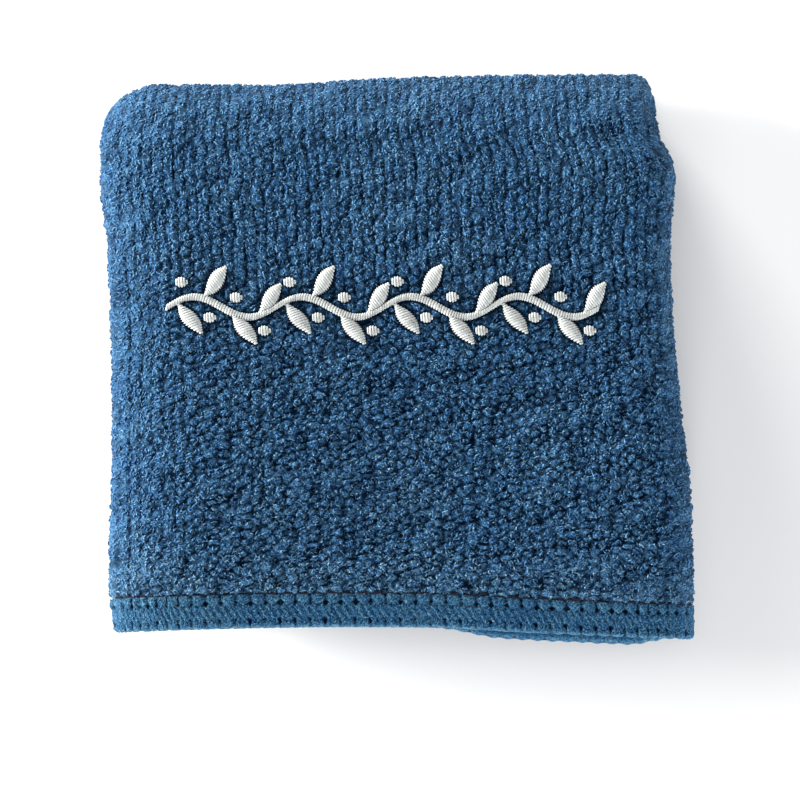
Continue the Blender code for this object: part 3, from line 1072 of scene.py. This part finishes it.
class TERRY_OT_hem(bpy.types.Operator):
    """Build the overlocked front hem, its fluffy thread and its row of needle stitches"""

    bl_idname = "terry.hem"
    bl_label = "Overlocked Hem"

    def execute(self, context):
        self.band("hem_band", *FRONT_BAND, far=False)
        self.band("hem_far_band", *FAR_BAND, far=True)
        self.fluff()
        self.needle_stitches(context.scene.terry_hem)
        return {"FINISHED"}

    def band(self, name, lines, steps, far):
        """The band: an oval section round the cloth's edge, carried across, raised by the relief."""
        across = np.linspace(0, CLOTH_ACROSS, lines)
        outer = np.linspace(0, HEM_REACH, steps)
        back = np.linspace(HEM_REACH, 0, 7)[1:]
        inward = np.concatenate([outer, back])
        side = np.concatenate([np.ones(len(outer)), -np.ones(len(back))])
        across, inward = (part.T for part in np.meshgrid(across, inward))
        side = np.broadcast_to(side, inward.shape)
        rim = hem_rim(inward)
        root = smooth_step(inward / (0.9 * MM) + 0.25)
        stitch = stitch_number(across)
        relief, pit = hem_relief(stitch, inward)
        relief = np.where(side > 0, relief * rim, 0)
        pit = np.where(side > 0, pit, 0)
        height = HEM_TOP * rim * root + relief
        edge = 0.12 * MM * np.sin(2 * np.pi * (stitch + HOLE_LEAD) - np.pi / 2)
        along = HEM_WIDTH - inward - edge * fade(inward - LOWER_HOLES, 1.2 * MM)
        if far:
            along = CLOTH_ALONG - along
        points = np.stack([across, along, side * height], axis=-1)
        rows, columns = across.shape
        last = np.arange(rows - 1) * columns + columns - 1
        first = np.arange(rows - 1) * columns
        seam = np.stack([last, first, first + columns, last + columns], axis=-1)
        quads = np.concatenate([grid_quads(rows, columns), seam])
        ends = np.stack([np.arange(columns)[::-1], (rows - 1) * columns + np.arange(columns)])
        if far:
            quads, ends = quads[:, ::-1], ends[:, ::-1]
        # Painted shade: the thread's colour darkens in the holes and in the grooves between the blocks
        shown = np.clip(0.66 - 0.80 * pit, 0, 1)
        return make_piece(name, points, [quads, ends], hem_material(), shown, self.tint(across, inward))

    def tint(self, across, inward):
        """Brightness of the thread: uneven in small spots, paler along the outer edge, partly from a paler
        edge thread and partly as a painted highlight, and darker over its lower part as painted shade.
        """
        spots = 0.20 * waves(across, inward, *THREAD_SPOTS)
        spots += 0.10 * waves(across, inward, *THREAD_PATCHES)
        edge = fade(inward - HEM_REACH + 0.8 * MM, 0.5 * MM)
        lower = fade(inward - 1.6 * MM, 1.2 * MM)
        # Painted shade over the lower part; along the outer edge, a paler edge thread together with a
        # painted highlight
        return 0.52 + spots - 0.30 * lower + 0.60 * edge

    def fluff(self):
        """Short bent strands of thread that lie on the band, slanting between the rows of holes."""
        draw = np.random.default_rng(71)
        count = FLUFF_COUNT
        on_face = draw.random(count) < FLUFF_ON_FACE
        face = draw.uniform(LEFT_FLAP - 1 * MM, RIGHT_FLAP_START + 1 * MM, count)
        across = np.where(on_face, face, draw.uniform(1 * MM, CLOTH_ACROSS - 1 * MM, count))
        inward = draw.uniform(0.3 * MM, HEM_REACH - 0.4 * MM, count)
        between = (inward > UPPER_HOLES) & (inward < LOWER_HOLES)
        heading = np.where(between, 1.9, 0.8) + draw.normal(0, 0.6, count)
        length = draw.uniform(0.4, 1.0, count) * MM
        bend = draw.normal(0, 0.2, count) * MM
        u, outward, share = bent_lines(across, -inward, heading, length, bend)
        inward = np.clip(-outward, 0.1 * MM, HEM_REACH - 0.15 * MM)
        relief, pit = hem_relief(stitch_number(u), inward)
        w = (HEM_TOP + relief) * hem_rim(inward) + FLUFF_RADIUS * (0.6 - 5 * share**2)
        keep = pit.max(axis=1) < 0.55
        lines = np.stack([u, HEM_WIDTH - inward, w], axis=-1)[keep]
        points, faces = strands(lines, FLUFF_RADIUS)
        tint = draw.uniform(0.0, 0.7, len(lines))
        return make_piece("hem_fluff", points, faces, hem_material(), 0.9, tint)

    def needle_stitches(self, settings):
        """Dark stitches end to end between the pile and the hem."""
        colour = settings.needle_colour
        dark = tuple(0.4 * part for part in colour)
        material = yarn_material("needle thread", dark, colour, powers=(1.0, 1.0))
        draw = np.random.default_rng(81)
        numbers = stitch_number(STITCH_PLACES)
        middle = np.arange(1, int(numbers[-1])) + 0.5
        share = np.linspace(-0.5, 0.5, 7)
        u = np.interp(middle[:, None] + 0.86 * share, numbers, STITCH_PLACES)
        v = HEM_WIDTH + 0.20 * MM + draw.normal(0, 0.05, u.shape) * MM
        sunk = draw.uniform(0.0, 0.30, (len(middle), 1))
        w = (0.58 - sunk) * MM + 0.26 * MM * (1 - (2 * share) ** 4)
        points, faces = strands(np.stack([u, v, w], axis=-1), 0.33 * MM, 6)
        tint = draw.uniform(0.2, 0.9, len(middle))
        return make_piece("hem_needle_stitches", points, faces, material, 1.0, tint)


def satin(starts, ends, puff):
    """Threads side by side: each rises over its middle and dips to the cloth at both ends."""
    share = np.linspace(0, 1, 7)
    arch = np.sin(np.pi * share) ** 0.6
    line = starts[:, None, :] + (ends - starts)[:, None, :] * share[:, None]
    across, along = flat_place(line[..., 0], line[..., 1])
    height = 0.9 * MM + (puff[:, None]) * arch
    return np.stack([across, along, height], axis=-1)


class TERRY_OT_sprig(bpy.types.Operator):
    """Embroider a sprig of leaves and berries in satin stitch across the face"""

    bl_idname = "terry.sprig"
    bl_label = "Embroidered Sprig"

    def execute(self, context):
        settings = context.scene.terry_sprig
        dark = tuple(0.55 * part for part in settings.colour)
        material = yarn_material(
            "ivory thread",
            dark,
            settings.colour,
            fleck_and_glint=0.10,
            powers=(1.0, 1.0),
            sheen=0.15,
            sheen_tint=(1.0, 1.0, 1.0),
            bump=0.25,
        )
        lines = [self.leaf(*shape, settings.spacing) for shape in leaf_shapes()]
        lines += [self.berry(*shape, settings.spacing) for shape in berry_shapes()]
        lines.append(self.stem(settings.spacing))
        lines = np.concatenate(lines)
        taper = np.array([0.95, 1.0, 1.0, 1.0, 0.95])
        points, faces = strands(lines, settings.thread * taper, 6)
        # Painted shade: the thread colour darkens low down, where the threads dip to the cloth between
        # stitches
        height = np.clip((points[:, 2] - 0.6 * MM) / (0.9 * MM), 0, 1)
        tint = np.random.default_rng(91).uniform(0.3, 0.6, len(lines))
        make_piece("sprig_stitches", points, faces, material, height, tint)
        return {"FINISHED"}

    def leaf(self, centre, heading, half_length, half_width, spacing):
        """Threads across a pointed oval, slanting towards its tip."""
        place = np.arange(-half_length, half_length, spacing)
        width = half_width * (1 - (place / half_length) ** 2)
        width = np.maximum(width, 0.25 * MM)
        slant = 0.35 * width
        forward = np.array([np.cos(heading), np.sin(heading)])
        beside = np.array([-np.sin(heading), np.cos(heading)])
        spine = np.array(centre) + place[:, None] * forward
        starts = spine - width[:, None] * beside - slant[:, None] * forward
        ends = spine + width[:, None] * beside + slant[:, None] * forward
        return satin(starts, ends, 0.55 * MM + 0.25 * width)

    def berry(self, centre, radius, spacing):
        """Threads across a circle."""
        place = np.arange(-radius + spacing / 2, radius, spacing)
        width = np.sqrt(radius**2 - place**2)
        starts = np.stack([centre[0] + place, centre[1] - width], axis=-1)
        ends = np.stack([centre[0] + place, centre[1] + width], axis=-1)
        return satin(starts, ends, 0.55 * MM + 0.35 * width)

    def stem(self, spacing):
        """Threads across the waving stem, all leaning the same way."""
        x = np.arange(-SPRIG_HALF_LENGTH, SPRIG_HALF_LENGTH, spacing) + SPRIG_CENTRE[0]
        y = stem_height(x)
        starts = np.stack([x - 0.4 * STEM_HALF_WIDTH, y - STEM_HALF_WIDTH], axis=-1)
        ends = np.stack([x + 0.4 * STEM_HALF_WIDTH, y + STEM_HALF_WIDTH], axis=-1)
        return satin(starts, ends, np.full(len(x), 0.75 * MM))


class TERRY_OT_declare(bpy.types.Operator):
    """A step that does nothing to the pieces"""

    bl_idname = "terry.declare"
    bl_label = "Declare Cloth"

    def execute(self, context):
        return {"FINISHED"}


# The picture: its size, and where the cloth's middle falls in it
PICTURE_SIDE = 800
PICTURE_SCALE = 5.05 / MM
PICTURE_MIDDLE = (400, 355)
CAMERA_DISTANCE = 0.80
CAMERA_ELEVATION = np.radians(87)
SENSOR = 36.0

# Soft square lights: name, place, side, share of the key power, and colour
WARM = (1.0, 0.98, 0.96)
COOL = (0.97, 0.98, 1.0)
LIGHTS = (
    ("back", (-0.38, 0.84, 0.19), 0.32, 1.4, WARM),
    ("left", (-0.90, 0.16, 0.20), 0.36, 3.4, WARM),
    ("right", (0.92, -0.10, 0.18), 0.30, 0.9, COOL),
    ("front", (0.10, -0.92, 0.17), 0.30, 1.5, COOL),
    ("overhead", (0.10, -0.10, 1.10), 0.70, 0.35, COOL),
)
WORLD_COLOUR = (0.95, 0.97, 1.0, 1.0)
WORLD_STRENGTH = 0.30
FLOOR_HALF = 1.5


def aim(thing, target):
    """Turn an object so that it looks at a point."""
    thing.rotation_euler = (Vector(target) - thing.location).to_track_quat("-Z", "Y").to_euler()


class TERRY_OT_stage(bpy.types.Operator):
    """Lay the floor, and set the lights and the camera"""

    bl_idname = "terry.stage"
    bl_label = "Stage"

    def execute(self, context):
        settings = context.scene.terry_stage
        self.floor(settings)
        for name, place, side, share, colour in LIGHTS:
            self.area(name, place, side, share * settings.key_power, colour)
        self.camera(context)
        world = bpy.data.worlds.new("studio")
        world.use_nodes = True
        background = world.node_tree.nodes["Background"]
        fill(world.node_tree, background, {"Color": WORLD_COLOUR, "Strength": WORLD_STRENGTH})
        context.scene.world = world
        context.scene.view_settings.view_transform = "Standard"
        return {"FINISHED"}

    def floor(self, settings):
        """A large flat floor."""
        half = FLOOR_HALF
        corners = [(-half, -half, 0), (half, -half, 0), (half, half, 0), (-half, half, 0)]
        material = bpy.data.materials.new("pale floor")
        material.use_nodes = True
        shader = material.node_tree.nodes["Principled BSDF"]
        fill(material.node_tree, shader, {"Base Color": (*settings.floor_colour, 1.0), "Roughness": 0.9})
        mesh = bpy.data.meshes.new("floor")
        mesh.from_pydata(corners, [], [(0, 1, 2, 3)])
        mesh.materials.append(material)
        floor = bpy.data.objects.new("floor", mesh)
        bpy.context.scene.collection.objects.link(floor)

    def area(self, name, place, side, power, colour):
        """A soft square light, aimed at the top of the cloth."""
        data = bpy.data.lights.new(name, "AREA")
        data.size = side
        data.energy = power
        data.color = colour
        light = bpy.data.objects.new(name, data)
        light.location = place
        bpy.context.scene.collection.objects.link(light)
        aim(light, (0.0, 0.0, STACK_HEIGHT))

    def camera(self, context):
        """A long lens almost square above the face, framed as in the picture."""
        look_x = CLOTH_BOX[1][0] - FOLDED_REACH[0] + (PICTURE_SIDE / 2 - PICTURE_MIDDLE[0]) / PICTURE_SCALE
        look_y = CLOTH_BOX[1][1] - FOLDED_REACH[1] + (PICTURE_MIDDLE[1] - PICTURE_SIDE / 2) / PICTURE_SCALE
        target = (look_x, look_y, 0.85 * STACK_HEIGHT)
        data = bpy.data.cameras.new("camera")
        data.sensor_width = SENSOR
        data.lens = SENSOR * CAMERA_DISTANCE * PICTURE_SCALE / PICTURE_SIDE
        data.clip_start = 0.01
        camera = bpy.data.objects.new("camera", data)
        camera.location = (
            look_x,
            look_y - CAMERA_DISTANCE * np.cos(CAMERA_ELEVATION),
            target[2] + CAMERA_DISTANCE * np.sin(CAMERA_ELEVATION),
        )
        context.scene.collection.objects.link(camera)
        aim(camera, target)
        context.scene.camera = camera


class TERRY_PT_panel(bpy.types.Panel):
    """Lists the steps and their settings."""

    bl_idname = "TERRY_PT_panel"
    bl_label = "Terry Cloth"
    bl_space_type = "VIEW_3D"
    bl_region_type = "UI"
    bl_category = "Terry Cloth"

    def draw(self, context):
        layout = self.layout
        for step in STEPS:
            layout.operator(step.bl_idname)
        for label in SETTINGS:
            group = getattr(context.scene, label)
            box = layout.box()
            for name in group.__annotations__:
                box.prop(group, name)


SETTINGS = {
    "terry_cloth": ClothSettings,
    "terry_pile": PileSettings,
    "terry_hem": HemSettings,
    "terry_sprig": SprigSettings,
    "terry_stage": StageSettings,
}
STEPS = (
    TERRY_OT_ground_cloth,
    TERRY_OT_pile,
    TERRY_OT_hem,
    TERRY_OT_sprig,
    TERRY_OT_declare,
    TERRY_OT_stage,
)


def register():
    """Add the settings, the steps and the panel."""
    for label, group in SETTINGS.items():
        bpy.utils.register_class(group)
        setattr(bpy.types.Scene, label, bpy.props.PointerProperty(type=group))
    for step in (*STEPS, TERRY_PT_panel):
        bpy.utils.register_class(step)


def unregister():
    """Take them away again."""
    for step in (TERRY_PT_panel, *reversed(STEPS)):
        bpy.utils.unregister_class(step)
    for label, group in SETTINGS.items():
        delattr(bpy.types.Scene, label)
        bpy.utils.unregister_class(group)


def main():
    """Build the cloth and its stage."""
    register()
    bpy.ops.terry.ground_cloth()
    bpy.ops.terry.pile()
    bpy.ops.terry.hem()
    bpy.ops.terry.sprig()
    bpy.ops.terry.declare()
    bpy.ops.terry.stage()


if __name__ == "__main__":
    main()
